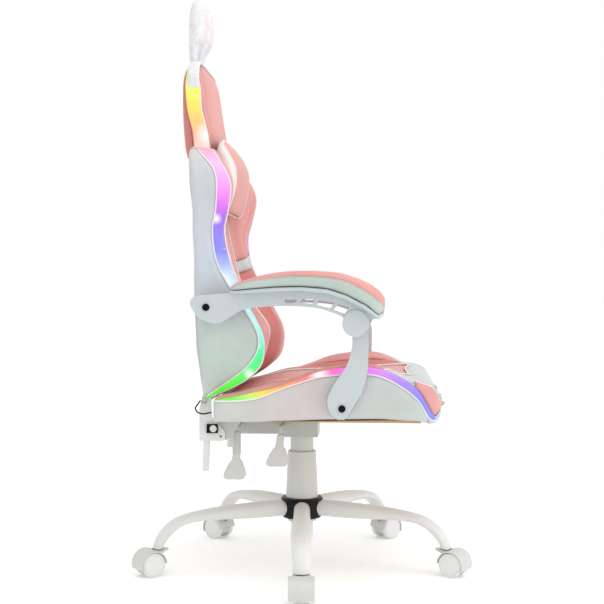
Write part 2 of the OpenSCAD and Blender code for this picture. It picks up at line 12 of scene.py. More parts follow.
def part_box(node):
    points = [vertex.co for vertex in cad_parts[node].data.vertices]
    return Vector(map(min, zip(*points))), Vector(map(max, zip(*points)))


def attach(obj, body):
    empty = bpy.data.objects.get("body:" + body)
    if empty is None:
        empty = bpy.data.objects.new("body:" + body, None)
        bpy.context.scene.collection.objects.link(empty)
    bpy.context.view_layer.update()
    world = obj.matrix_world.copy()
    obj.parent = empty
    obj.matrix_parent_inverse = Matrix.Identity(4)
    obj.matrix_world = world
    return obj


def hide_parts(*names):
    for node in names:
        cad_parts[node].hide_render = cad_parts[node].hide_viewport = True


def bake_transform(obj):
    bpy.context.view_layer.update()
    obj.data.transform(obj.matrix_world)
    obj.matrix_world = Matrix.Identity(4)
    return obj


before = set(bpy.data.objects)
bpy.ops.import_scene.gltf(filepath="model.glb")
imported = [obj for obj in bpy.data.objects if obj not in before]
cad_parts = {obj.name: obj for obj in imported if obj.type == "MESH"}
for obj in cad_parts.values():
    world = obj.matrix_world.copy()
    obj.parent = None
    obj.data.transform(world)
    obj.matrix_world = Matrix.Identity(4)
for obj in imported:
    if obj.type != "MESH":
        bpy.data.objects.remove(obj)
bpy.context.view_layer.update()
MM = 0.001
SIDES = {"right": -1, "left": 1}

# ---- Camera, lights and floor -------------------------------------------------------------

CAMERA_TURN = radians(4.2)
CAMERA_AWAY = 2.72
CAMERA_HEIGHT = 0.642
# Half the width of the floor, in millimetres
FLOOR = 40000


def make_camera():
    data = bpy.data.cameras.new("camera")
    data.lens = 69.5
    data.shift_y = -0.023
    camera = bpy.data.objects.new("camera", data)
    camera.location = (CAMERA_AWAY * sin(CAMERA_TURN), -CAMERA_AWAY * cos(CAMERA_TURN), CAMERA_HEIGHT)
    camera.rotation_euler = (pi / 2, 0, CAMERA_TURN)
    bpy.context.scene.collection.objects.link(camera)
    bpy.context.scene.camera = camera


def soft_light(name, place, aim, width, power):
    data = bpy.data.lights.new(name, "AREA")
    data.size = width
    data.energy = power
    light = bpy.data.objects.new(name, data)
    light.location = place
    light.rotation_euler = (Vector(place) - Vector(aim)).to_track_quat("Z", "Y").to_euler()
    bpy.context.scene.collection.objects.link(light)


def make_studio():
    world = bpy.data.worlds.new("studio")
    world.use_nodes = True
    sky = world.node_tree.nodes["Background"]
    sky.inputs["Color"].default_value = (1, 1, 1, 1)
    sky.inputs["Strength"].default_value = 1.0
    bpy.context.scene.world = world
    bpy.context.scene.view_settings.view_transform = "Standard"
    middle = (0, 0, 0.6)
    soft_light("overhead", (0.6, -0.8, 3.2), middle, 2.4, 26)
    soft_light("front", (2.8, -1.2, 1.5), middle, 1.8, 18)


# ---- Materials ----------------------------------------------------------------------------


def rgb(r, g, b):
    """Linear colour of an 8-bit screen colour."""
    def linear(v):
        v /= 255
        return v / 12.92 if v <= 0.04045 else ((v + 0.055) / 1.055) ** 2.4
    return (linear(r), linear(g), linear(b), 1)


def shade(colour, times):
    return (*[min(1, c * times) for c in colour[:3]], 1)


def node(tree, kind, settings=None, **inputs):
    """Adds a shader node, with its inputs set or linked by name, and returns its outputs."""
    made = tree.nodes.new("ShaderNode" + kind)
    for key, value in (settings or {}).items():
        setattr(made, key, value)
    for key, value in inputs.items():
        socket = made.inputs[int(key[1:])] if key[0] == "_" else made.inputs[key.replace("_", " ")]
        if isinstance(value, bpy.types.NodeSocket):
            tree.links.new(value, socket)
        else:
            socket.default_value = value
    return made.outputs


def ramp(tree, value, stops):
    """Colour ramp over value: stops are (position, colour)."""
    made = tree.nodes.new("ShaderNodeValToRGB")
    tree.links.new(value, made.inputs["Fac"])
    points = made.color_ramp.elements
    while len(points) < len(stops):
        points.new(0.5)
    for point, (position, colour) in zip(points, stops):
        point.position = position
        point.color = colour
    return made.outputs["Color"]


def grey(v):
    return (v, v, v, 1)


def spread(tree, value, low, high):
    """Takes a 0..1 pattern to low..high."""
    return node(tree, "MapRange", Value=value, To_Min=low, To_Max=high)["Result"]


def surface(name):
    """A new material: its tree, its principled shader's inputs and its object coordinates."""
    made = bpy.data.materials.new(name)
    made.use_nodes = True
    tree = made.node_tree
    return made, tree, tree.nodes["Principled BSDF"].inputs, node(tree, "TexCoord")["Object"]


def noise_of(tree, place, scale, detail=3.0, rough=0.55):
    return node(tree, "TexNoise", Vector=place, Scale=scale, Detail=detail, Roughness=rough)["Fac"]


def bump(tree, height, depth, strength=1.0):
    return node(tree, "Bump", Height=height, Distance=depth, Strength=strength)["Normal"]


def along_axis(tree, place, axis, low, high):
    """0..1 over a stretch of the object along X, Y or Z, in metres."""
    part = node(tree, "SeparateXYZ", Vector=place)[axis]
    return node(tree, "MapRange", _0=part, _1=low, _2=high)["Result"]


def leather(name, colour, roughness=0.45, glow=None):
    """Coated upholstery fabric: pebbled grain, soft creases and slightly uneven colour.
    Its last argument, (axis, low, high, stops), paints the coloured glow of a light strip into the cover's colour."""
    made, tree, shader, place = surface(name)
    mottle = noise_of(tree, place, 14, 5)
    cells = node(tree, "TexVoronoi", {"feature": "DISTANCE_TO_EDGE"}, Vector=place, Scale=430.0)["Distance"]
    valleys = node(tree, "MapRange", _0=cells, _1=0.0, _2=0.16)["Result"]
    creases = noise_of(tree, place, 45, 4)
    tone = ramp(tree, mottle, [(0.3, shade(colour, 0.93)), (0.7, shade(colour, 1.05))])
    # Painted glow: the strip's light is multiplied into the base colour along one axis.
    if glow:
        axis, low, high, stops = glow
        tint = ramp(tree, along_axis(tree, place, axis, low, high), stops)
        tone = node(tree, "Mix", {"data_type": "RGBA", "blend_type": "MULTIPLY"}, _0=1.0, _6=tint, _7=tone)[2]
    tree.links.new(tone, shader["Base Color"])
    tree.links.new(spread(tree, mottle, roughness - 0.07, roughness + 0.08), shader["Roughness"])
    grain = node(tree, "Math", {"operation": "MULTIPLY_ADD"}, _0=creases, _1=0.8, _2=valleys)["Value"]
    tree.links.new(bump(tree, grain, 0.0004, 0.35), shader["Normal"])
    shader["Specular IOR Level"].default_value = 0.42
    return made


def knit(name, colour, roughness=0.9):
    """Woven cloth: crossed threads a millimetre apart."""
    made, tree, shader, place = surface(name)
    warp = node(tree, "TexWave", {"bands_direction": "X"}, Vector=place, Scale=320.0, Distortion=0.6)["Fac"]
    weft = node(tree, "TexWave", {"bands_direction": "Y"}, Vector=place, Scale=320.0, Distortion=0.6)["Fac"]
    weave = node(tree, "Math", {"operation": "MULTIPLY"}, _0=warp, _1=weft)["Value"]
    tree.links.new(ramp(tree, weave, [(0, shade(colour, 0.6)), (0.6, colour)]), shader["Base Color"])
    tree.links.new(bump(tree, weave, 0.0005, 0.6), shader["Normal"])
    tree.links.new(spread(tree, weave, roughness - 0.1, roughness), shader["Roughness"])
    return made


def plush(name, colour):
    """Short soft pile that catches light at its edges."""
    made, tree, shader, place = surface(name)
    tufts = noise_of(tree, place, 260, 4, 0.7)
    clumps = noise_of(tree, place, 60, 2)
    tree.links.new(ramp(tree, clumps, [(0.3, shade(colour, 0.88)), (0.7, colour)]), shader["Base Color"])
    tree.links.new(bump(tree, tufts, 0.0022, 0.8), shader["Normal"])
    tree.links.new(spread(tree, tufts, 0.86, 1.0), shader["Roughness"])
    shader["Sheen Weight"].default_value = 0.6
    shader["Sheen Roughness"].default_value = 0.4
    return made


def coated_metal(name, colour, roughness=0.36):
    """Powder-coated steel: fine orange peel, and dust that dulls it unevenly."""
    made, tree, shader, place = surface(name)
    peel = noise_of(tree, place, 700, 2)
    dust = noise_of(tree, place, 11, 5)
    tree.links.new(ramp(tree, dust, [(0.35, shade(colour, 0.95)), (0.65, colour)]), shader["Base Color"])
    tree.links.new(spread(tree, dust, roughness - 0.06, roughness + 0.1), shader["Roughness"])
    tree.links.new(bump(tree, peel, 0.00012, 0.5), shader["Normal"])
    return made


def plastic(name, colour, roughness=0.42, texture=1500.0, shine=0.5):
    """Moulded plastic with a spark-eroded surface and faint handling marks."""
    made, tree, shader, place = surface(name)
    pits = noise_of(tree, place, texture, 2)
    marks = noise_of(tree, place, 18, 6, 0.7)
    tree.links.new(ramp(tree, marks, [(0.35, shade(colour, 0.96)), (0.62, colour)]), shader["Base Color"])
    tree.links.new(spread(tree, marks, roughness - 0.08, roughness + 0.1), shader["Roughness"])
    tree.links.new(bump(tree, pits, 0.00008, 0.6), shader["Normal"])
    shader["Specular IOR Level"].default_value = shine
    return made


def metal(name, colour, roughness, stretch=(1, 1, 40)):
    """Bare metal, drawn or turned along one axis."""
    made, tree, shader, place = surface(name)
    drawn = node(tree, "Mapping", Vector=place, Scale=stretch)["Vector"]
    lines = noise_of(tree, drawn, 60, 3)
    tree.links.new(ramp(tree, lines, [(0.3, shade(colour, 0.85)), (0.7, colour)]), shader["Base Color"])
    tree.links.new(spread(tree, lines, roughness - 0.05, roughness + 0.12), shader["Roughness"])
    tree.links.new(bump(tree, lines, 0.00005, 0.3), shader["Normal"])
    shader["Metallic"].default_value = 1.0
    return made


def plywood(name):
    made, tree, shader, place = surface(name)
    long_way = node(tree, "Mapping", Vector=place, Scale=(1, 9, 9))["Vector"]
    rings = node(tree, "TexWave", {"wave_type": "BANDS", "bands_direction": "Y"}, Vector=long_way,
                 Scale=3.0, Distortion=5.0, Detail=4.0)["Fac"]
    tree.links.new(ramp(tree, rings, [(0, rgb(176, 134, 88)), (1, rgb(214, 178, 130))]), shader["Base Color"])
    tree.links.new(bump(tree, rings, 0.0003, 0.4), shader["Normal"])
    tree.links.new(spread(tree, rings, 0.6, 0.75), shader["Roughness"])
    return made


def light_strip(name, axis, low, high, stops, lamps):
    """Lit diffuser: its colour runs along the strip, and the lamps show as pale spots.
    lamps are (x, z, radius) in metres."""
    made, tree, shader, place = surface(name)
    colour = ramp(tree, along_axis(tree, place, axis, low, high), stops)
    flat = node(tree, "VectorMath", {"operation": "MULTIPLY"}, _0=place, _1=(1, 0, 1))["Vector"]
    for x, z, radius in lamps:
        away = node(tree, "VectorMath", {"operation": "DISTANCE"}, _0=flat, _1=(x, 0, z))["Value"]
        near = node(tree, "MapRange", {"interpolation_type": "SMOOTHSTEP"},
                    _0=away, _1=0.0, _2=radius, _3=0.9, _4=0.0)["Result"]
        colour = node(tree, "Mix", {"data_type": "RGBA"}, _0=near, _6=colour, _7=(1, 1, 1, 1))[2]
    cloudy = noise_of(tree, place, 40, 3)
    veil = ramp(tree, cloudy, [(0.3, grey(0.86)), (0.7, grey(1.0))])
    colour = node(tree, "Mix", {"data_type": "RGBA", "blend_type": "MULTIPLY"}, _0=1.0, _6=colour, _7=veil)[2]
    tree.links.new(colour, shader["Emission Color"])
    tree.links.new(node(tree, "Mix", {"data_type": "RGBA", "blend_type": "MULTIPLY"},
                        _0=1.0, _6=colour, _7=(0.25, 0.25, 0.25, 1))[2], shader["Base Color"])
    shader["Emission Strength"].default_value = 0.85
    tree.links.new(spread(tree, cloudy, 0.35, 0.5), shader["Roughness"])
    tree.links.new(bump(tree, noise_of(tree, place, 500, 2), 0.0002, 0.4), shader["Normal"])
    return made


PINK = rgb(213, 149, 143)
# The darker pink below is the pink cover with painted shade, for inner slopes and rear faces turned from the light.
SHADED_PINK = rgb(196, 119, 112)
WHITE = rgb(194, 197, 197)

# Painted glow: tints of the light strips' coloured light, painted on the white side covers of the back and seat.
BACK_PAINTED_GLOW = ("Z", 0.39, 0.96, [
    (0.0, (0.98, 1.0, 0.96, 1)), (0.16, (0.86, 1.0, 0.90, 1)), (0.28, (0.92, 1.0, 0.94, 1)),
    (0.42, (0.94, 1.0, 1.04, 1)), (0.56, (0.94, 1.0, 1.12, 1)), (0.75, (0.96, 0.99, 1.06, 1)),
    (1.0, (1.0, 0.99, 0.97, 1)),
])
SEAT_PAINTED_GLOW = ("X", -0.17, 0.30, [
    (0.0, (0.97, 0.98, 0.93, 1)), (0.2, (1.0, 0.95, 0.90, 1)), (0.42, (1.08, 0.92, 0.90, 1)),
    (0.6, (0.97, 0.96, 0.95, 1)), (0.85, (0.94, 0.99, 0.94, 1)), (1.0, (0.95, 0.99, 0.97, 1)),
])
WING_COLOURS = [
    (0.0, rgb(70, 225, 40)), (0.07, rgb(105, 250, 75)), (0.13, rgb(85, 250, 130)), (0.2, rgb(80, 245, 160)),
    (0.24, rgb(120, 240, 215)), (0.3, rgb(190, 250, 250)), (0.4, rgb(215, 250, 252)), (0.5, rgb(190, 215, 255)),
    (0.58, rgb(140, 140, 250)), (0.66, rgb(145, 130, 252)), (0.71, rgb(165, 105, 250)), (0.77, rgb(238, 120, 250)),
    (0.84, rgb(248, 165, 248)), (0.92, rgb(250, 190, 240)), (0.98, rgb(252, 170, 200)), (1.0, rgb(248, 110, 130)),
]
HEAD_COLOURS = [
    (0.0, rgb(246, 190, 205)), (0.09, rgb(252, 215, 205)), (0.22, rgb(253, 190, 150)), (0.36, rgb(254, 205, 125)),
    (0.52, rgb(253, 236, 100)), (0.72, rgb(253, 245, 120)), (0.82, rgb(200, 245, 110)), (1.0, rgb(120, 235, 90)),
]
SEAT_COLOURS = [
    (0.0, rgb(90, 235, 60)), (0.1, rgb(120, 250, 90)), (0.17, rgb(190, 250, 110)), (0.24, rgb(252, 225, 90)),
    (0.3, rgb(252, 180, 90)), (0.37, rgb(252, 150, 120)), (0.46, rgb(252, 120, 150)), (0.53, rgb(252, 110, 200)),
    (0.62, rgb(248, 125, 240)), (0.7, rgb(240, 130, 250)), (0.78, rgb(210, 140, 252)), (0.88, rgb(160, 140, 252)),
    (1.0, rgb(125, 140, 252)),
]

MATERIALS = {
    "white_metal": coated_metal("white_metal", rgb(216, 216, 213)),
    "black_metal": plastic("black_metal", rgb(9, 9, 9), 0.4, 900.0, 0.2),
    "grey_metal": coated_metal("grey_metal", rgb(186, 189, 184), 0.4),
    "steel": metal("steel", rgb(205, 207, 205), 0.24),
    "dark_steel": metal("dark_steel", rgb(120, 122, 124), 0.32),
    "white_plastic": plastic("white_plastic", rgb(200, 201, 197)),
    "wheel_white": plastic("wheel_white", rgb(222, 223, 222), 0.5, 900.0),
    "black_plastic": plastic("black_plastic", rgb(6, 6, 6), 0.55, shine=0.12),
    "cable_black": plastic("cable_black", rgb(12, 12, 13), 0.5, 2500.0, 0.2),
    "plywood": plywood("plywood"),
    "pink_cover": leather("pink_cover", PINK),
    # rose_cover is the pink cover darkened: painted shade.
    "rose_cover": leather("rose_cover", SHADED_PINK),
    "white_cover": leather("white_cover", WHITE),
    "plush_white": plush("plush_white", rgb(226, 226, 229)),
}
arm_plastic = plastic("arm_plastic", rgb(187, 195, 197))
pad_cover = leather("pad_cover", rgb(178, 192, 184))
plush_pink = plush("plush_pink", rgb(240, 214, 222))
# These side covers carry the painted glow of the light strips.
back_side_cover = leather("back_side_cover", WHITE, glow=BACK_PAINTED_GLOW)
seat_side_cover = leather("seat_side_cover", WHITE, glow=SEAT_PAINTED_GLOW)
pillow_cover = leather("pillow_cover", rgb(224, 221, 219))
piping_cover = leather("piping_cover", rgb(232, 228, 227), 0.4)
base_cloth = knit("base_cloth", rgb(30, 30, 32))
thread = knit("thread", rgb(225, 208, 206), 0.8)
wing_light = light_strip("wing_light", "Z", 0.394, 0.957, WING_COLOURS,
                         [(-0.168, 0.791, 0.016), (-0.096, 0.458, 0.017), (-0.15, 0.655, 0.03),
                          (-0.08, 0.52, 0.014)])
head_light = light_strip("head_light", "Z", 0.94, 1.154, HEAD_COLOURS,
                         [(-0.203, 0.985, 0.034)])
seat_light = light_strip("seat_light", "X", -0.173, 0.3, SEAT_COLOURS,
                         [(0.055, 0.462, 0.03)])

# ---- Mesh tools: lengths in here are millimetres -------------------------------------------


def add_mesh(name, points, faces, material, smooth=True):
    mesh = bpy.data.meshes.new(name)
    mesh.from_pydata([tuple(float(c) * MM for c in p) for p in points], [], faces)
    work = bmesh.new()
    work.from_mesh(mesh)
    bmesh.ops.recalc_face_normals(work, faces=work.faces)
    work.to_mesh(mesh)
    work.free()
    for polygon in mesh.polygons:
        polygon.use_smooth = smooth
    mesh.materials.append(material)
    piece = bpy.data.objects.new(name, mesh)
    bpy.context.scene.collection.objects.link(piece)
    return piece


def put(piece, body, slot, *nodes):
    """Attaches a piece to the body it rides on and hides the CAD nodes it stands for. Its slot argument is not used.
    """
    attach(piece, body)
    if nodes:
        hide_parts(*nodes)
    return piece


def curve(rows, steps=8):
    """Catmull-Rom curve through rows of numbers, with steps points a span."""
    p = np.array(rows, float)
    p = np.vstack([p[:1], p, p[-1:]])
    u = (np.arange(steps) / steps)[:, None]
    spans = [
        0.5 * (2 * b + (c - a) * u + (2 * a - 5 * b + 4 * c - d) * u ** 2 + (3 * b - a - 3 * c + d) * u ** 3)
        for a, b, c, d in zip(p, p[1:], p[2:], p[3:])
    ]
    return np.vstack([*spans, p[-1:]])


def lengths(line):
    return np.r_[0, np.cumsum(np.linalg.norm(np.diff(line, axis=0), axis=1))]


def resample(line, count):
    """count points spaced evenly along a line."""
    gone = lengths(line)
    want = np.linspace(0, gone[-1], count)
    return np.column_stack([np.interp(want, gone, c) for c in line.T])


def station(table, value):
    """The row of a table whose first number is value."""
    return np.array([np.interp(value, table[:, 0], c) for c in table.T])


def trim(grid, axis, low, high, rows):
    """The stretch of a surface grid between two lines across it: low and high hold a place along axis a column."""
    made = np.empty((rows, grid.shape[1], 3))
    for j in range(grid.shape[1]):
        line = grid[:, j]
        want = np.linspace(low[j], high[j], rows)
        made[:, j] = np.column_stack([np.interp(want, line[:, axis], c) for c in line.T])
    return made


def grid_normals(grid, out):
    n = np.cross(np.gradient(grid, axis=0), np.gradient(grid, axis=1))
    n /= np.maximum(np.linalg.norm(n, axis=2, keepdims=True), 1e-9)
    return n if np.sum(n @ np.array(out, float)) > 0 else -n


def puff(grid, out, rise, dip=2.0, ease=14.0, crown=0.0):
    """Upholstery: the middle of a panel stands out by rise, its sewn edges sink by dip, over a width of ease."""
    step_u = np.linalg.norm(np.diff(grid, axis=0), axis=2)
    step_v = np.linalg.norm(np.diff(grid, axis=1), axis=2)
    far_u = np.vstack([np.zeros((1, grid.shape[1])), np.cumsum(step_u, axis=0)])
    far_v = np.hstack([np.zeros((grid.shape[0], 1)), np.cumsum(step_v, axis=1)])
    edge = np.minimum.reduce([far_u, far_u[-1:] - far_u, far_v, far_v[:, -1:] - far_v])
    share = np.sin(np.clip(edge / ease, 0, 1) * pi / 2)
    middle = np.sin(np.linspace(0, pi, grid.shape[1]))[None, :]
    lift = share * (rise + dip) - dip + crown * middle * share
    return grid + grid_normals(grid, out) * lift[:, :, None]


def shell(name, grid, out, thick, material):
    """Closed sheet of a given thickness behind a surface grid."""
    rows, columns = grid.shape[:2]
    inner = grid - grid_normals(grid, out) * thick
    points = np.vstack([grid.reshape(-1, 3), inner.reshape(-1, 3)])
    count = rows * columns
    faces = []
    for i in range(rows - 1):
        for j in range(columns - 1):
            a = i * columns + j
            faces.append((a, a + 1, a + columns + 1, a + columns))
            faces.append(tuple(count + k for k in (a, a + columns, a + columns + 1, a + 1)))
    rim = [i * columns for i in range(rows)] + [(rows - 1) * columns + j for j in range(1, columns)]
    rim += [i * columns + columns - 1 for i in range(rows - 2, -1, -1)] + list(range(columns - 2, 0, -1))
    for a, b in zip(rim, rim[1:] + rim[:1]):
        faces.append((a, b, count + b, count + a))
    return add_mesh(name, points, faces, material)


def inflate(piece, grid, voxel, cap, pressure=4.0):
    """Fills a cushion by cloth simulation: it swells between its seams, which stay where they are.
    No point moves further than cap millimetres."""
    remesh = piece.modifiers.new("remesh", "REMESH")
    remesh.mode = "VOXEL"
    remesh.voxel_size = voxel * MM
    settle = piece.modifiers.new("settle", "SMOOTH")
    settle.factor = 0.5
    settle.iterations = 2
    keep_modified(piece)
    rest = vertices_of(piece.data)
    seam = np.vstack([grid[0], grid[-1], grid[:, 0], grid[:, -1]])
    tree = KDTree(len(seam))
    for i, point in enumerate(seam):
        tree.insert(Vector(point) * MM, i)
    tree.balance()
    pins = piece.vertex_groups.new(name="seams")
    for i, point in enumerate(rest):
        away = tree.find(point)[2] / MM
        pins.add([i], float(np.clip((16 - away) / 10, 0, 1)), "REPLACE")
    cloth = piece.modifiers.new("cloth", "CLOTH")
    cloth.settings.use_pressure = True
    cloth.settings.uniform_pressure_force = pressure
    cloth.settings.effector_weights.gravity = 0
    cloth.settings.vertex_group_mass = "seams"
    cloth.settings.tension_stiffness = 15
    cloth.settings.bending_stiffness = 2
    for moment in range(1, 21):
        bpy.context.scene.frame_set(moment)
    done = vertices_of(piece.evaluated_get(bpy.context.evaluated_depsgraph_get()).to_mesh())
    piece.modifiers.clear()
    piece.vertex_groups.clear()
    bpy.context.scene.frame_set(1)
    moved = done - rest
    far = np.linalg.norm(moved, axis=1, keepdims=True)
    moved *= np.minimum(1, cap * MM / np.maximum(far, 1e-9))
    piece.data.vertices.foreach_set("co", (rest + moved).astype(np.float32).ravel())
    finer = piece.modifiers.new("finer", "SUBSURF")
    finer.levels = finer.render_levels = 1
    for polygon in piece.data.polygons:
        polygon.use_smooth = True


def keep_modified(piece):
    """Applies a piece's modifiers to its mesh."""
    graph = bpy.context.evaluated_depsgraph_get()
    mesh = bpy.data.meshes.new_from_object(piece.evaluated_get(graph))
    piece.modifiers.clear()
    piece.data = mesh


def vertices_of(mesh):
    co = np.zeros(len(mesh.vertices) * 3, np.float32)
    mesh.vertices.foreach_get("co", co)
    return co.reshape(-1, 3).astype(float)


def panel(name, grid, out, material, body, slot, rise=1.5, dip=2.0, ease=14.0, thick=6.0, crown=0.0,
          fill=None, cap=6.0, voxel=5.0, nodes=()):
    """One sewn cover panel. With fill it is a padded piece, swollen by simulation."""
    puffed = puff(grid, out, rise, dip, ease, crown)
    piece = shell(name, puffed, out, thick, material)
    if fill is not None:
        inflate(piece, puffed, voxel, cap)
    put(piece, body, slot, *nodes)
    return puffed


def tube(name, line, radius, material, body, slot, sides=8, nodes=()):
    """Round cord along a line, with closed ends."""
    points, faces = tube_mesh(np.array(line, float), radius, sides, 0)
    return put(add_mesh(name, points, faces, material), body, slot, *nodes)


def tube_mesh(line, radius, sides, first):
    way = np.gradient(line, axis=0)
    way /= np.maximum(np.linalg.norm(way, axis=1, keepdims=True), 1e-9)
    side = np.cross(way[0], (0, 0, 1) if abs(way[0][2]) < 0.9 else (0, 1, 0))
    points = []
    for p, t in zip(line, way):
        side = side - t * (side @ t)
        side = side / np.linalg.norm(side)
        up = np.cross(t, side)
        points += [p + radius * (cos(2 * pi * k / sides) * side + sin(2 * pi * k / sides) * up)
                   for k in range(sides)]
    faces = []
    for i in range(len(line) - 1):
        for k in range(sides):
            a, b = i * sides + k, i * sides + (k + 1) % sides
            faces.append((a, b, b + sides, a + sides))
    last = (len(line) - 1) * sides
    faces += [tuple(range(sides)), tuple(last + k for k in range(sides))]
    return points, [tuple(first + k for k in f) for f in faces]


def stitches(name, lines, body, slot, length=4.2, pitch=6.5, radius=0.5):
    """Rows of thread stitches lying on a cover."""
    points, faces = [], []
    for line in lines:
        line = np.array(line, float)
        gone = lengths(line)
        for s in np.arange(pitch, gone[-1] - pitch, pitch):
            want = np.linspace(s, s + length, 3)
            dash = np.column_stack([np.interp(want, gone, c) for c in line.T])
            more, more_faces = tube_mesh(dash, radius, 5, len(points))
            points += more
            faces += more_faces
    return put(add_mesh(name, points, faces, thread), body, slot)


def mirrored(grid, side):
    """A grid drawn for the right side (-Y), on the given side."""
    return grid * np.array([1, -side, 1])


# ---- Back ---------------------------------------------------------------------------------

# Stations: z, rear, panel seam, light's front edge, wing front, centre front, half width
BACK = [
    [394, -201, -198, -194, -192, -193, 204], [408, -202, -190, -178, -174, -181, 210],
    [424, -203, -168, -140, -138, -158, 218], [446, -205, -136, -102, -104, -130, 228],
    [475, -207, -100, -72, -76, -104, 238], [510, -211, -77, -63, -66, -94, 246],
    [548, -212, -77, -67, -68, -92, 251], [598, -214, -105, -91, -94, -126, 252],
    [655, -216, -143, -118, -122, -160, 248], [705, -217, -167, -138, -143, -173, 241],
    [765, -222, -176, -150, -158, -186, 231], [810, -222, -169, -142, -148, -194, 233],
    [860, -226, -165, -135, -134, -198, 243], [895, -228, -171, -147, -141, -200, 240],
    [925, -233, -196, -167, -162, -202, 214], [948, -238, -217, -186, -184, -205, 170],
    [954, -236, -224, -208, -206, -206, 150],
]
BACK_TABLE = curve(BACK)


def back_half(row):
    """Right half of the back's section, from the middle behind round the wing to the middle in front."""
    z, rear, seam, light, wing, centre, w = row
    crest = 58 - 24 * float(np.clip((z - 780) / 80, 0, 1))
    inner = w - crest - 24
    flat = [
        (rear, 0), (rear, -0.55 * w), (rear + 1, 14 - w), (rear + 3, 4 - w), (rear * 0.8 + seam * 0.2, -w),
        ((rear + seam) / 2, -w), (seam, -w), (light, 5 - w),
        (light * 0.4 + wing * 0.6, 20 - w), (wing, crest - w),
        ((wing * 2 + centre) / 3, -inner), ((wing + centre * 4) / 5, 14 - inner), (centre, 34 - inner),
        (centre + 1, -0.3 * inner), (centre + 1, 0),
    ]
    return np.array([(x, y, z) for x, y in flat])


def back_grid(first, last, columns, low=394, high=954, rows=90):
    """Surface of the back between two points of its section."""
    return np.array([
        resample(curve(back_half(station(BACK_TABLE, z))[first:last + 1], 6), columns)
        for z in np.linspace(low, high, rows)
    ])


def whole(grid):
    """A grid that ends at the middle, with its mirror image added past it."""
    return np.concatenate([grid, mirrored(grid, 1)[:, -2::-1]], axis=1)


def drawn_back(grid, side, first, last):
    """The left wing's edge is pulled a little further back above the armrest."""
    if side < 0:
        return grid
    pull = 9 * np.exp(-((grid[:, :, 2] - 690) / 75) ** 2) * np.linspace(first, last, grid.shape[1])
    return grid - pull[:, :, None] * np.array([1, 0, 0])


def make_back():
    rear = back_grid(0, 3, 14)[:, ::-1]
    panel("back_rear_panel", whole(rear), (-1, 0, 0), MATERIALS["white_cover"], "back", "white_cover",
          rise=1, nodes=("back_cushion",))
    for label, side in SIDES.items():
        strip = mirrored(back_grid(3, 6, 14), side)
        panel(f"back_side_{label}", strip, (0, side, 0), back_side_cover, "back", "white_cover", rise=1.5)
        light = drawn_back(mirrored(back_grid(6, 7, 9), side), side, 0, 1)
        lit = panel(f"back_light_{label}", light, (0.6, side, 0), wing_light, "back", "light_strip_cyan",
                    rise=0, dip=0.5, ease=7, crown=0.8, nodes=("back_led",) if side < 0 else ())
        make_wing(label, side)
        tube(f"back_side_piping_{label}", lit[:, 0], 1.6, piping_cover, "back", "white_cover")
        tube(f"back_light_piping_{label}", lit[:, -1], 1.4, piping_cover, "back", "white_cover")
    centre = whole(back_grid(12, 14, 16))
    panel("back_centre_pad", centre, (1, 0, 0), MATERIALS["pink_cover"], "back", "pink_cover",
          rise=2, dip=2.5, ease=26, thick=16, fill=0.7, cap=7)


def make_wing(label, side):
    """Wing cover: a light pink front strip and an inner slope in a darker pink that paints shade, both crossed by a
    slanting white insert.
    """
    parts = [("front", back_grid(7, 9, 9), "pink_cover", (1, side, 0), (697, 692), (728, 721)),
             ("inner", back_grid(9, 12, 14), "rose_cover", (1, -side * 0.8, 0), (692, 676), (721, 704))]
    for part, grid, cover, out, insert_low, insert_high in parts:
        grid = mirrored(grid, side)
        if part == "front":
            grid = drawn_back(grid, side, 1, 0)
        columns = grid.shape[1]
        low, high = np.linspace(*insert_low, columns), np.linspace(*insert_high, columns)
        bottom, top = np.full(columns, 394.0), np.full(columns, 954.0)
        look = dict(out=out, body="back", rise=2.5, dip=2.5, ease=11, thick=9)
        panel(f"wing_{part}_low_{label}", trim(grid, 2, bottom, low, 56), material=MATERIALS[cover],
              slot=cover, **look)
        panel(f"wing_{part}_insert_{label}", trim(grid, 2, low, high, 12), material=MATERIALS["white_cover"],
              slot="white_cover", **look)
        panel(f"wing_{part}_top_{label}", trim(grid, 2, high, top, 42), material=MATERIALS["pink_cover"],
              slot="pink_cover", **look)
        if part == "front":
            lines = [grid[:, 1] + grid_normals(grid, out)[:, 1] * 0.8]
        else:
            tube(f"wing_seam_piping_{label}", grid[:, -1], 2.4, piping_cover, "back", "white_cover")
            lines.append(grid[:, -2] + grid_normals(grid, out)[:, -2] * 0.8)
    stitches(f"wing_stitches_{label}", lines, "back", "white_cover")


# ---- Headrest -----------------------------------------------------------------------------

# Stations: z, rear, light's rear edge, light's front edge, front, half width
HEAD = [
    [906, -232, -229, -207, -205, 96], [925, -247, -235, -203, -201, 116], [948, -257, -233, -199, -196, 126],
    [990, -262, -236, -203, -189, 131], [1040, -264, -248, -215, -198, 133], [1090, -264, -253, -219, -205, 131],
    [1115, -262, -252, -225, -209, 127], [1132, -258, -250, -231, -213, 119], [1143, -252, -248, -236, -220, 104],
    [1149, -244, -242, -237, -228, 80],
]
HEAD_TABLE = curve(HEAD)
HEAD_POWER = 4


def superellipse(x0, x1, half_w, z, angles, power):
    """Points of a rounded-box section at angles from the front, +X."""
    c, s = np.cos(angles), np.sin(angles)
    x = (x0 + x1) / 2 + (x1 - x0) / 2 * np.sign(c) * np.abs(c) ** (2 / power)
    y = half_w * np.sign(s) * np.abs(s) ** (2 / power)
    return np.column_stack([x, y, np.full(len(angles), z)])


def edge_angle(x, x0, x1, power):
    """Angle at which a rounded-box section passes x on its side."""
    share = np.clip((x - (x0 + x1) / 2) / ((x1 - x0) / 2), -0.999, 0.999)
    return acos(np.sign(share) * abs(share) ** (power / 2))


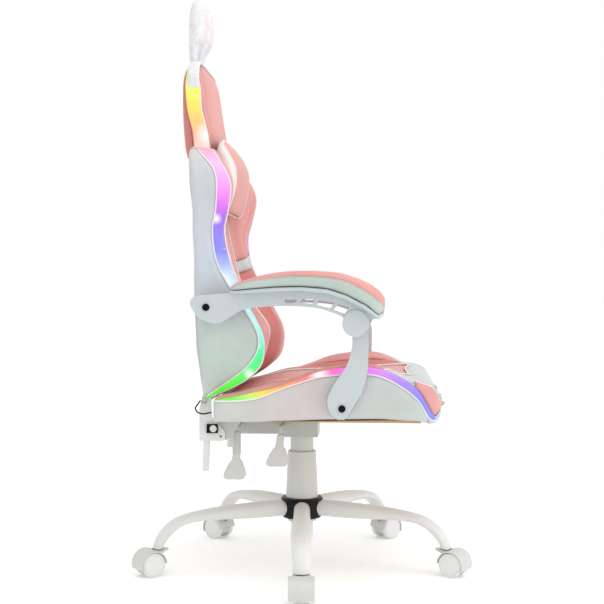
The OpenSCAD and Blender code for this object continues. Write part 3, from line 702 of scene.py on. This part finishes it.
def head_grid(part, columns, rows=60):
    """Headrest surface: its rear shell, one light strip or its front pad."""
    made = []
    for z in np.linspace(906, 1149, rows):
        z, rear, light_rear, light_front, front, w = station(HEAD_TABLE, z)
        a = edge_angle(light_rear, rear, front, HEAD_POWER)
        b = edge_angle(light_front, rear, front, HEAD_POWER)
        low, high = {"front": (-b, b), "light": (b, a), "rear": (a, 2 * pi - a)}[part]
        line = superellipse(rear, front, w, z, np.linspace(low, high, 60), HEAD_POWER)
        made.append(resample(line, columns))
    return np.array(made)


def make_head():
    # The rear shell and rear piping take the darker pink: painted shade on faces turned from the light.
    panel("head_rear_shell", head_grid("rear", 30), (-1, 0, 0), MATERIALS["rose_cover"], "back", "rose_cover",
          rise=1.5, nodes=("head_cushion",))
    front = panel("head_front_pad", head_grid("front", 34), (1, 0, 0), MATERIALS["pink_cover"], "back", "pink_cover",
                  rise=2, dip=2.5, ease=20, thick=14, fill=0.7, cap=5)
    for label, side in SIDES.items():
        strip = mirrored(head_grid("light", 10), -side)
        lit = panel(f"head_light_{label}", strip, (0, side, 0), head_light, "back", "light_strip_cyan",
                    rise=1.5, dip=0.5, ease=7, crown=2)
        tube(f"head_front_piping_{label}", lit[2:-2, 0], 1.7, piping_cover, "back", "white_cover")
        tube(f"head_rear_piping_{label}", lit[2:-2, -1], 1.3, MATERIALS["rose_cover"], "back", "rose_cover")
    stitches("head_stitches", [front[:, 2], front[:, -3]], "back", "pink_cover")


# ---- Neck pillow --------------------------------------------------------------------------

# Stations: z, rear, gusset seam, front, half width
PILLOW = [
    [810, -170, -164, -158, 100], [815, -175, -159, -153, 116], [824, -184, -154, -147, 130],
    [850, -190, -145, -138, 140], [885, -192, -139, -132, 142], [915, -192, -141, -132, 142],
    [945, -188, -155, -144, 138], [965, -182, -168, -159, 124], [974, -176, -171, -165, 104],
    [978, -173, -171, -168, 88],
]
PILLOW_TABLE = curve(PILLOW)
PILLOW_POWER = 3


def pillow_grid(part, columns, rows=44):
    made = []
    for z in np.linspace(810, 978, rows):
        z, rear, seam, front, w = station(PILLOW_TABLE, z)
        a = edge_angle(seam, rear, front, PILLOW_POWER)
        low, high = {"front": (-a, a), "gusset": (a, pi - 0.35), "rear": (pi - 0.35, pi + 0.35)}[part]
        line = superellipse(rear, front, w - 2, z, np.linspace(low, high, 60), PILLOW_POWER)
        made.append(resample(line, columns))
    return np.array(made)


def make_pillow():
    front = panel("pillow_front", pillow_grid("front", 40), (1, 0, 0), MATERIALS["pink_cover"], "back", "pink_cover",
                  rise=0, dip=1, ease=18, thick=16, fill=0.9, cap=6, nodes=("neck_pillow",))
    panel("pillow_rear", pillow_grid("rear", 20), (-1, 0, 0), pillow_cover, "back", "white_cover", rise=0.5)
    for label, side in SIDES.items():
        gusset = mirrored(pillow_grid("gusset", 14), -side)
        panel(f"pillow_gusset_{label}", gusset, (0, side, 0), pillow_cover, "back", "white_cover",
              rise=1.5, dip=1, ease=12)
        edge = front[:, 0 if side < 0 else -1]
        tube(f"pillow_piping_{label}", edge, 2.2, piping_cover, "back", "white_cover")


# ---- Ears ---------------------------------------------------------------------------------

# Stations measured down from the tip: drop, rear, front, half width
EAR = [
    [153, -254, -238, 15], [128, -257, -238, 22], [108, -257, -232, 30], [92, -257, -221, 34],
    [63, -257, -216, 37], [32, -255, -216, 35], [12, -250, -220, 26], [4, -244, -226, 17], [0, -238, -232, 8],
]
EAR_Y = 47
BAND = [[-137, 1090], [-136, 1118], [-129, 1137], [-111, 1150], [-88, 1154]]


def fur(piece, height, size, seed):
    """Raises short tufts on a plush piece."""
    piece.modifiers.new("finer", "SUBSURF").levels = 2
    keep_modified(piece)
    normals = [v.normal.copy() for v in piece.data.vertices]
    for v, n in zip(piece.data.vertices, normals):
        place = v.co / (size * MM) + Vector((seed, 0, 0))
        v.co += n * height * MM * (noise.noise(place) + 0.5 * noise.noise(place * 2.3))
    for polygon in piece.data.polygons:
        polygon.use_smooth = True


def ring_solid(name, rings, material):
    """Closed solid through rings of points, its ends closed by fans."""
    rings = np.array(rings, float)
    count, sides = rings.shape[:2]
    points = np.vstack([rings.reshape(-1, 3), rings[0].mean(axis=0), rings[-1].mean(axis=0)])
    faces = [
        (i * sides + k, i * sides + (k + 1) % sides, (i + 1) * sides + (k + 1) % sides, (i + 1) * sides + k)
        for i in range(count - 1) for k in range(sides)
    ]
    foot, tip = count * sides, count * sides + 1
    last = (count - 1) * sides
    for k in range(sides):
        faces.append((foot, (k + 1) % sides, k))
        faces.append((tip, last + k, last + (k + 1) % sides))
    return add_mesh(name, points, faces, material)


def make_ears():
    tip_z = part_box("ears")[1].z / MM
    angles = np.linspace(0, 2 * pi, 24, endpoint=False)
    for label, side in SIDES.items():
        rows = [r for r in curve(EAR, 3)]
        rings = [superellipse(r[1] + 0.8, r[2] - 0.8, r[3] - 0.8, tip_z - 0.8 - r[0] * 0.995, angles, 2.4)
                 + np.array([0, side * EAR_Y, 0]) for r in rows]
        ear = ring_solid(f"ear_{label}", rings, MATERIALS["plush_white"])
        fur(ear, 1.3, 4.5, side)
        put(ear, "back", "plush_white", *(("ears",) if side < 0 else ()))
        inner = []
        for r in curve([e for e in EAR if 12 <= e[0] <= 110], 3):
            share = np.linspace(-0.36, 0.36, 11)
            x = (r[1] + r[2]) / 2 + (r[2] - r[1]) / 2 * (1 - np.abs(share) ** 2.4) ** (1 / 2.4)
            inner.append(np.column_stack([x, side * EAR_Y + share * r[3], np.full(11, tip_z - r[0])]))
        lining = shell(f"ear_lining_{label}", puff(np.array(inner), (1, 0, 0), 0.9, 1.5, 8), (1, 0, 0), 4, plush_pink)
        put(lining, "back", "plush_white")
    make_band()


def make_band():
    """Plush strap over the headrest that the ears are sewn to."""
    half = curve(BAND, 5)
    line = np.vstack([half, (half * np.array([-1, 1]))[::-1]])
    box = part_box("ear_band")
    x0, x1 = box[0].x / MM + 1, box[1].x / MM - 1
    sweep = np.gradient(line, axis=0)
    sweep /= np.linalg.norm(sweep, axis=1, keepdims=True)
    rings = []
    for (y, z), (dy, dz) in zip(line, sweep):
        ring = []
        for a in np.linspace(0, 2 * pi, 20, endpoint=False):
            along = (x0 + x1) / 2 + (x1 - x0) / 2 * np.sign(cos(a)) * abs(cos(a)) ** 0.5
            out = -1.5 + 3.2 * np.sign(sin(a)) * abs(sin(a)) ** 0.7
            ring.append((along, y - dz * out, z + dy * out))
        rings.append(ring)
    band = ring_solid("ear_strap", rings, MATERIALS["plush_white"])
    fur(band, 0.7, 4, 7)
    put(band, "back", "plush_white", "ear_band")


# ---- Seat ---------------------------------------------------------------------------------

# Stations: x, bottom, light's lower edge, light's upper edge, bolster seam, centre, half width
SEAT = [
    [-173, 356, 398, 400, 399, 397, 248], [-166, 353, 402, 405, 403, 402, 258],
    [-120, 353, 403, 413, 416, 416, 262], [-75, 353, 409, 423, 430, 430, 262],
    [-40, 354, 423, 431, 438, 437, 262], [10, 354, 441, 449, 441, 440, 262],
    [60, 355, 455, 467, 444, 442, 262], [130, 356, 461, 476, 448, 446, 262],
    [185, 357, 456, 472, 451, 450, 262], [235, 357, 430, 450, 452, 453, 262],
    [265, 358, 404, 425, 448, 450, 262], [285, 358, 370, 392, 439, 442, 259],
    [298, 359, 363, 372, 424, 430, 246], [307, 363, 367, 376, 404, 411, 220],
    [314, 372, 375, 382, 392, 398, 180], [318, 383, 385, 387, 390, 392, 120],
]
SEAT_TABLE = curve(SEAT)
SEAT_REAR, SEAT_FRONT = -173, 318
# The dust cloth is narrower than the seat and lies this far up inside its edge
CLOTH_SHARE = 0.97
CLOTH_LIFT = 5
# The white wedge's rear edge and its lower edge against the pink front corner
WEDGE_REAR = (191, 251)
CORNER_START = 253
CORNER_Z = 449
CORNER_SLOPE = 0.36


def seat_half(row):
    """Left half of the seat's section, from the middle of its underside round the side to the middle on top."""
    x, low, light_low, light_high, bolster, centre, w = row
    k = w / 262
    top = max(light_high, bolster)
    flat = [
        (0, low), (120 * k, low), (256 * k, low), (w, low + (light_low - low) * 0.1),
        (w, (low + light_low) / 2), (w, light_low), (258 * k, light_high),
        (246 * k, max(light_high + 4, bolster)), (214 * k, (top + bolster) / 2 + 3), (185 * k, bolster),
        (168 * k, centre + 2), (140 * k, centre), (70 * k, centre + 1), (0, centre + 1),
    ]
    return np.array([(x, y, z) for y, z in flat])


def seat_grid(first, last, columns, low=SEAT_REAR, high=SEAT_FRONT, rows=80, start=None):
    """Surface of the seat between two points of its section. start(x, line) is the share of the line left out."""
    made = []
    for x in np.linspace(low, high, rows):
        line = resample(curve(seat_half(station(SEAT_TABLE, x))[first:last + 1], 8), 60)
        if start:
            share = start(x, line)
            line = resample(line, 200)[int(share[0] * 199):int(share[1] * 199) + 1]
        made.append(resample(line, columns))
    return np.array(made)


def corner_share(x, line):
    """Share of the bolster's line below the wedge's lower edge."""
    target = CORNER_Z - (x - CORNER_START) * CORNER_SLOPE
    above = np.nonzero(line[:, 2] >= target)[0]
    share = above[0] / (len(line) - 1) if len(above) else 0.7
    return float(np.clip(share, 0.0, 0.7)) if x > CORNER_START else 0.0


def on_side(grid, side):
    """A grid drawn for the left side (+Y), on the given side."""
    return grid * np.array([1, side, 1])


def make_seat():
    for label, side in SIDES.items():
        panel(f"seat_side_{label}", on_side(seat_grid(3, 5, 14, high=299), side), (0, side, 0), seat_side_cover,
              "seat", "white_cover", rise=1.2)
        lit = panel(f"seat_light_{label}", on_side(seat_grid(5, 6, 9, low=-170, high=302), side), (0, side, 0.4),
                    seat_light, "seat", "light_strip_pink", rise=1.5, dip=0.5, ease=7, crown=2.5,
                    nodes=("seat_led",) if side < 0 else ())
        tube(f"seat_side_piping_{label}", lit[:, 0], 1.8, piping_cover, "seat", "white_cover")
        edge = on_side(seat_grid(5, 6, 6, low=299, rows=14), side)
        panel(f"seat_nose_edge_{label}", edge, (0.5, side, 0), MATERIALS["white_cover"], "seat", "white_cover",
              rise=0.5, dip=0.5, ease=4, thick=3)
        make_bolster(label, side)
    make_seat_middle()


def make_bolster(label, side):
    """Raised side of the seat: pink outside and a darker pink with painted shade inside, with the white wedge and
    pink corner at the front.
    """
    look = dict(body="seat", rise=2.5, dip=2.5, ease=12, thick=9)
    strip = on_side(seat_grid(6, 8, 12), side)
    columns = strip.shape[1]
    rear = np.full(columns, float(SEAT_REAR))
    wedge = np.linspace(WEDGE_REAR[0], 235, columns)
    out = (0, side * 0.5, 1)
    panel(f"bolster_top_{label}", trim(strip, 0, rear, wedge, 60), out, MATERIALS["pink_cover"], slot="pink_cover",
          fill=0.8, cap=4, **look)
    slope = on_side(seat_grid(8, 10, 10), side)
    inner_wedge = np.linspace(235, WEDGE_REAR[1], 10)
    panel(f"bolster_inner_{label}", trim(slope, 0, np.full(10, rear[0]), inner_wedge, 60), (0, -side * 0.5, 1),
          MATERIALS["rose_cover"], slot="rose_cover", **look)
    rest = on_side(seat_grid(6, 8, columns, rows=200, start=lambda x, line: (corner_share(x, line), 1)), side)
    front = np.full(columns, float(SEAT_FRONT))
    panel(f"wedge_outer_{label}", trim(rest, 0, wedge, front, 30), out, MATERIALS["white_cover"], slot="white_cover",
          **look)
    panel(f"wedge_inner_{label}", trim(slope, 0, inner_wedge, front[:10], 24), (0, -side * 0.3, 1),
          MATERIALS["white_cover"], slot="white_cover", **look)
    under = on_side(seat_grid(6, 8, 12, low=225), side)
    panel(f"wedge_lining_{label}", under, out, MATERIALS["white_cover"], "seat", "white_cover",
          rise=-3.5, dip=4, thick=4)
    corner = seat_grid(6, 8, 8, low=CORNER_START + 4, rows=26,
                       start=lambda x, line: (0, max(0.08, corner_share(x, line))))
    corner = panel(f"front_corner_{label}", on_side(corner, side), (0.5, side, 0), MATERIALS["pink_cover"],
                   slot="pink_cover", **{**look, "ease": 8})
    tube(f"corner_piping_{label}", corner[:, -1], 1.7, piping_cover, "seat", "white_cover")
    seam = slope[:, -1]
    tube(f"bolster_piping_{label}", seam[seam[:, 0] < 250], 2.4, piping_cover, "seat", "white_cover")
    tube(f"wedge_piping_{label}", trim(strip, 0, wedge, wedge + 1, 2)[0], 1.6, piping_cover, "seat", "white_cover")
    stitches(f"bolster_stitches_{label}", [slope[:46, -2] + np.array([0, 0, 0.8])], "seat", "white_cover")


def make_seat_middle():
    top = whole_seat(seat_grid(10, 13, 16, rows=100))
    columns = top.shape[1]
    bow = np.abs(np.linspace(-1, 1, columns)) ** 2
    cut = 240 + (WEDGE_REAR[1] - 240) * bow
    panel("seat_centre_pad", trim(top, 0, np.full(columns, float(SEAT_REAR)), cut, 50), (0, 0, 1),
          MATERIALS["pink_cover"], "seat", "pink_cover", rise=1, dip=3, ease=30, thick=18, fill=0.75, cap=9,
          nodes=("seat_cushion",))
    band = trim(top, 0, cut, np.full(columns, float(SEAT_FRONT)), 26)
    panel("seat_front_band", band, (0.5, 0, 1), MATERIALS["white_cover"], "seat", "white_cover",
          rise=2, dip=2.5, ease=12, thick=8)
    tube("seat_front_piping", band[0], 2.0, piping_cover, "seat", "white_cover")
    bottom = whole_seat(seat_grid(0, 2, 16, low=-160, high=290)[:, ::-1])
    bottom = bottom * np.array([1, CLOTH_SHARE, 1]) + np.array([0, 0, CLOTH_LIFT])
    panel("seat_dust_cloth", bottom, (0, 0, -1), base_cloth, "seat", "black_plastic", rise=0, dip=1, thick=2)
    wrap = whole_seat(seat_grid(0, 5, 22, low=284, rows=20)[:, ::-1])
    panel("seat_nose_wrap", wrap, (0.4, 0, -1), MATERIALS["white_cover"], "seat", "white_cover",
          rise=0, dip=0.5, ease=5, thick=2)
    low, high = station(SEAT_TABLE, SEAT_REAR), seat_half(station(SEAT_TABLE, SEAT_REAR))[:, 2].max()
    y = np.linspace(-low[6] + 6, low[6] - 6, 40)
    rear = np.array([np.column_stack([np.full(40, SEAT_REAR + 1.0), y, np.full(40, z)])
                     for z in np.linspace(low[1] + 1, high, 10)])
    panel("seat_rear_panel", rear, (-1, 0, 0), MATERIALS["white_cover"], "seat", "white_cover", rise=1.5, dip=1)
    nose = station(SEAT_TABLE, SEAT_FRONT)
    y = np.linspace(-nose[6], nose[6], 30)
    tip = np.array([np.column_stack([SEAT_FRONT - 1 + 1.5 * (1 - (y / nose[6]) ** 2), y, np.full(30, z)])
                    for z in np.linspace(nose[1], nose[5] + 1, 8)])
    panel("seat_nose", tip, (1, 0, 0), MATERIALS["white_cover"], "seat", "white_cover", rise=0.5, dip=0.5, ease=5)


def whole_seat(grid):
    return np.concatenate([grid, on_side(grid, -1)[:, -2::-1]], axis=1)


# ---- Armrest pads -------------------------------------------------------------------------

# Stations: x, bottom, top, half width, seam height
PAD = [
    [-128, 637, 645, 20, 642], [-112, 636, 655, 32, 650], [-80, 638, 665, 40, 658.5], [-32, 641, 675, 43, 664],
    [21, 642, 679, 44, 667], [75, 637, 677, 44, 664], [114, 624, 671, 42, 656], [154, 603, 653, 40, 636],
    [180, 583, 634, 34, 616], [192, 593, 618, 24, 607],
]
PAD_Y = 288
PAD_POWER = 3


def pad_ring(row, half, sides=18):
    """Upper or lower part of the pad's section, closed along its seam."""
    x, low, high, w, seam = row
    middle, rise = (low + high) / 2, (high - low) / 2
    share = np.clip((seam - middle) / rise, -0.95, 0.95)
    turn = float(np.arcsin(np.sign(share) * abs(share) ** (PAD_POWER / 2)))
    a0, a1 = (turn, pi - turn) if half == "top" else (pi - turn, 2 * pi + turn)
    a = np.linspace(a0, a1, sides)
    y = w * np.sign(np.cos(a)) * np.abs(np.cos(a)) ** (2 / PAD_POWER)
    z = middle + rise * np.sign(np.sin(a)) * np.abs(np.sin(a)) ** (2 / PAD_POWER)
    return resample(np.column_stack([np.full(sides, x), y + PAD_Y, z]), sides)


def make_pads():
    rows = curve(PAD, 5)
    for label, side in SIDES.items():
        flip = np.array([1, side, 1])
        body = f"armrest_{label}"
        top = np.array([pad_ring(r, "top") for r in rows]) * flip
        base = np.array([pad_ring(r, "base") for r in rows]) * flip
        cushion = panel(f"arm_pad_top_{label}", top, (0, 0, 1), MATERIALS["pink_cover"], body, "pink_cover",
                        rise=-0.5, dip=1.5, ease=9, thick=9, fill=0.7, cap=4, voxel=4,
                        nodes=(f"arm_pad_{label}",))
        panel(f"arm_pad_base_{label}", base, (0, 0, -1), pad_cover, body, "white_cover",
              rise=-0.8, dip=1.2, ease=6, thick=4)
        core = [np.vstack([pad_ring(r, "top")[:-1], pad_ring(r, "base")[:-1]]) for r in rows]
        core = [(ring - ring.mean(axis=0)) * np.array([1, 0.94, 0.9]) + ring.mean(axis=0) for ring in core]
        filling = ring_solid(f"arm_pad_core_{label}", np.array(core) * flip, MATERIALS["pink_cover"])
        put(filling, body, "pink_cover")
        for end, edge in (("inner", cushion[:, -1]), ("outer", cushion[:, 0])):
            tube(f"arm_pad_welt_{end}_{label}", edge, 0.9, thread, body, "white_cover", 6)


# ---- Light cable --------------------------------------------------------------------------

CABLE = [
    [-203, -222, 400], [-208, -222, 393], [-214, -222, 384], [-211, -222, 376], [-204, -222, 372],
    [-195, -222, 371], [-186, -222, 373], [-179, -222, 374],
]
CABLE_R = 1.6


def make_cable():
    """Jumper lead from the back's light strip to the seat's."""
    line = resample(curve(CABLE), 40)
    points, faces = tube_mesh(line, CABLE_R, 12, 0)
    lead = add_mesh("light_cable", points, faces, MATERIALS["cable_black"])
    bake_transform(lead)
    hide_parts("led_cable")


# ---- CAD pieces that show -------------------------------------------------------------------


def finish_cad():
    """Gives every CAD node its procedural finish and rounds the edges that are moulded or pressed."""
    for name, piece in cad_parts.items():
        slot_name = piece.data.materials[0].name.split(".")[0]
        if slot_name in MATERIALS:
            piece.data.materials[0] = MATERIALS[slot_name]
        if name.startswith(("arm_shell", "arm_support")):
            piece.data.materials[0] = arm_plastic
        if name.startswith(("arm_shell", "arm_support", "chassis", "back_brackets", "seat_brackets")):
            weld = piece.modifiers.new("weld", "WELD")
            weld.merge_threshold = 1e-5
            bevel = piece.modifiers.new("bevel", "BEVEL")
            bevel.width = 0.0016 if name.startswith("arm") else 0.0008
            bevel.segments = 3
            bevel.limit_method = "ANGLE"
            bevel.angle_limit = radians(40)
            bevel.harden_normals = True


def make_floor():
    """White ground that carries only the chair's shadow."""
    white = plastic("floor_white", (0.93, 0.93, 0.93, 1), 0.8)
    shader = white.node_tree.nodes["Principled BSDF"].inputs
    shader["Emission Color"].default_value = (1, 1, 1, 1)
    shader["Emission Strength"].default_value = 0.16
    corners = [(-FLOOR, -FLOOR, 0), (FLOOR, -FLOOR, 0), (FLOOR, FLOOR, 0), (-FLOOR, FLOOR, 0)]
    add_mesh("floor", corners, [(0, 1, 2, 3)], white, False)


make_camera()
make_cable()
make_studio()
make_back()
make_head()
make_pillow()
make_ears()
make_seat()
make_pads()
finish_cad()
make_floor()
